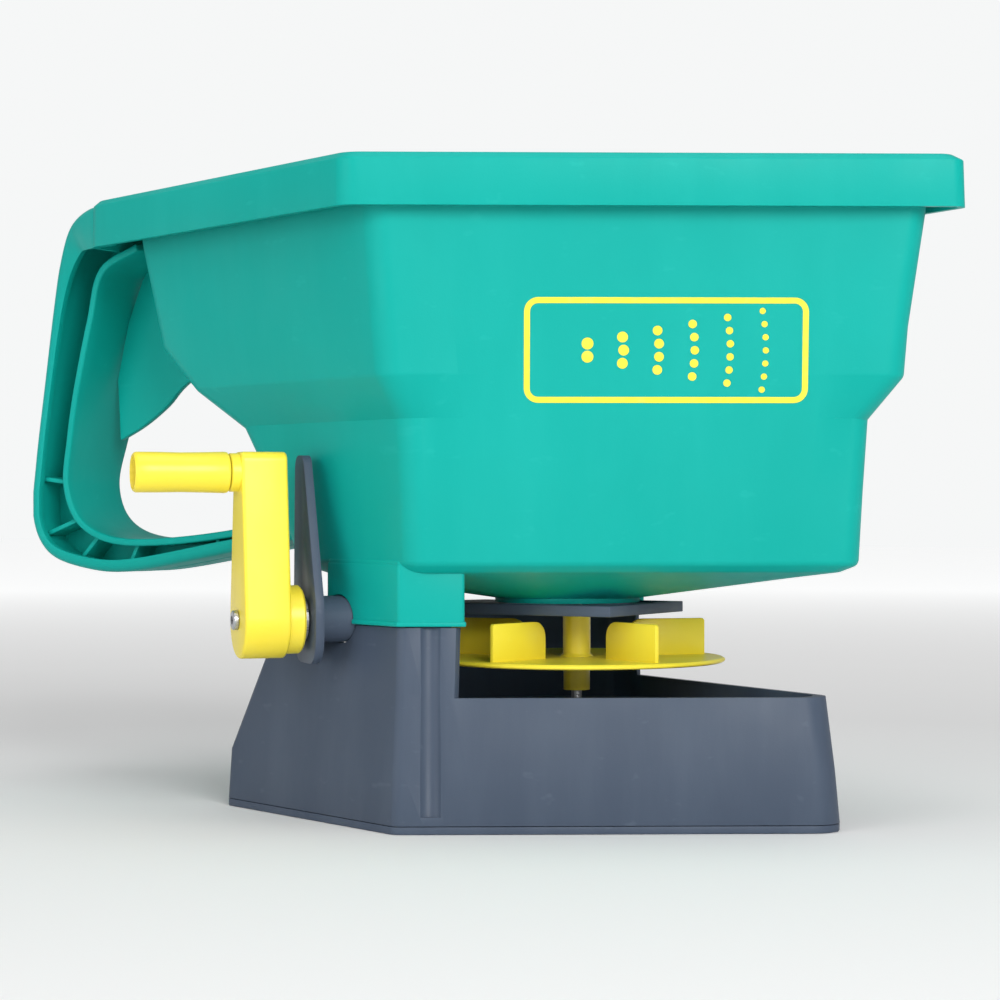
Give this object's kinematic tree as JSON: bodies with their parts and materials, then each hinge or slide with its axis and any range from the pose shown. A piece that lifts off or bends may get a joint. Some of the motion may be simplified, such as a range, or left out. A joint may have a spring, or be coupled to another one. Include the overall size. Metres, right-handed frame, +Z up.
{
  "type": "hand-held crank garden spreader",
  "caption": "Hand-held broadcast spreader: open hopper with a loop handle, on a base with a low tray, with a side crank that spins a finned disc under the hopper.",
  "frame": {"origin": "on the underside of the base cover, below the impeller's axis", "axes": "+X towards the pointed front, -X towards the handle, -Y towards the crank, +Z up along the impeller's axis"},
  "size_m": [0.4062, 0.2437, 0.239],
  "materials": {
    "green_plastic": "moulded satin teal green",
    "slate_plastic": "moulded slate grey",
    "yellow_plastic": "moulded bright yellow",
    "white_plastic": "natural acetal",
    "steel": "zinc plated"
  },
  "bodies": {
    "housing": {"hopper": "green_plastic", "base_stand": "slate_plastic", "base_cover": "slate_plastic", "cover_screw_1": "steel", "cover_screw_2": "steel", "cover_screw_3": "steel", "cover_screw_4": "steel", "cover_screw_5": "steel", "deck": "slate_plastic", "deck_bush": "white_plastic", "shaft_cup": "white_plastic", "gear_plate": "slate_plastic", "layshaft_bearing": "slate_plastic", "idler_pin": "steel", "crank_plate": "slate_plastic", "crank_bush": "white_plastic", "shutter_guide": "slate_plastic"},
    "crank": {"crank_shaft": "steel", "crank_gear": "white_plastic", "crank_washer": "steel", "crank_arm": "yellow_plastic", "crank_screw": "steel", "knob_pin": "yellow_plastic"},
    "knob": {"crank_knob": "yellow_plastic"},
    "idler": {"idler_gear": "white_plastic"},
    "layshaft": {"layshaft": "steel", "lay_gear": "white_plastic", "crown_gear": "white_plastic"},
    "impeller": {"impeller": "yellow_plastic", "impeller_shaft": "steel", "impeller_collar": "yellow_plastic", "impeller_pinion": "white_plastic", "agitator": "yellow_plastic"},
    "shutter": {"shutter": "slate_plastic"}
  },
  "joints": [
    {"name": "crank_spin", "type": "hinge", "parent": "housing", "child": "crank", "pos_m": [0, 0, 0.075], "axis": [-0.6691, -0.7431, 0], "continuous": true},
    {"name": "knob_spin", "type": "hinge", "parent": "crank", "child": "knob", "pos_m": [0, 0, 0.1285], "axis": [-0.6691, -0.7431, 0], "continuous": true},
    {"name": "idler_spin", "type": "hinge", "parent": "housing", "child": "idler", "pos_m": [-0.0054, 0.0049, 0.0436], "axis": [-0.6691, -0.7431, 0], "continuous": true},
    {"name": "layshaft_spin", "type": "hinge", "parent": "housing", "child": "layshaft", "pos_m": [0, 0, 0.0195], "axis": [-0.6691, -0.7431, 0], "continuous": true},
    {"name": "impeller_spin", "type": "hinge", "parent": "housing", "child": "impeller", "pos_m": [0, 0, 0.065], "axis": [0, 0, 1], "continuous": true},
    {"name": "shutter_slide", "type": "slide", "parent": "housing", "child": "shutter", "axis": [-1, 0, 0], "range_m": [0, 0.022]}
  ],
  "couplings": [
    {"joint": "idler_spin", "follows": "crank_spin", "ratio": -0.76923},
    {"joint": "layshaft_spin", "follows": "crank_spin", "ratio": 2},
    {"joint": "impeller_spin", "follows": "crank_spin", "ratio": -5}
  ]
}
